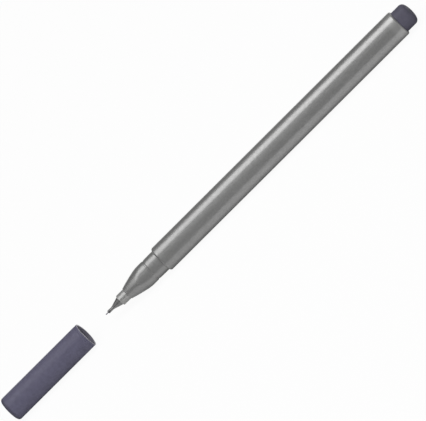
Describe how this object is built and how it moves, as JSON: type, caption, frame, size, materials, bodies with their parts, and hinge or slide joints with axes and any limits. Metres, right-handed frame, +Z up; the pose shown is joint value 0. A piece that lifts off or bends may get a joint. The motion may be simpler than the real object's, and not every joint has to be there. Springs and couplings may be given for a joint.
{
  "type": "fineliner pen",
  "caption": "Soft-triangular fineliner pen with a metal-clad point, an ink reservoir and a pull-off cap that seals the point; lies on a flat of its barrel without rolling.",
  "frame": {"origin": "middle of the flat face that the barrel lies on", "axes": "+X along the pen's axis from nib to tail, +Z up out of the surface that it lies on, +Y across"},
  "size_m": [0.196, 0.0102, 0.0098],
  "materials": {
    "silver_plastic": "satin silver-grey moulded plastic with a fine metallic fleck",
    "pale_plastic": "pale grey moulded plastic, smooth",
    "steel": "drawn stainless steel, dark satin",
    "nib_fibre": "grey fibre point, lightly stained by the ink",
    "ink_fibre": "ink-soaked fibre rod",
    "clear_film": "clear plastic film",
    "ink_plastic": "dusty indigo satin moulded plastic",
    "natural_plastic": "milky natural moulded plastic"
  },
  "bodies": {
    "pen": {"barrel": "silver_plastic", "nose_section": "silver_plastic", "tip_carrier": "pale_plastic", "tip_sleeve": "steel", "nib": "nib_fibre", "reservoir_core": "ink_fibre", "reservoir_sheath": "clear_film", "tail_plug": "ink_plastic"},
    "cap": {"cap_shell": "ink_plastic", "cap_liner": "natural_plastic"}
  },
  "joints": [
    {"name": "cap_slide", "type": "slide", "parent": "pen", "child": "cap", "axis": [1, 0, 0], "range_m": [0, 0.03663]}
  ]
}
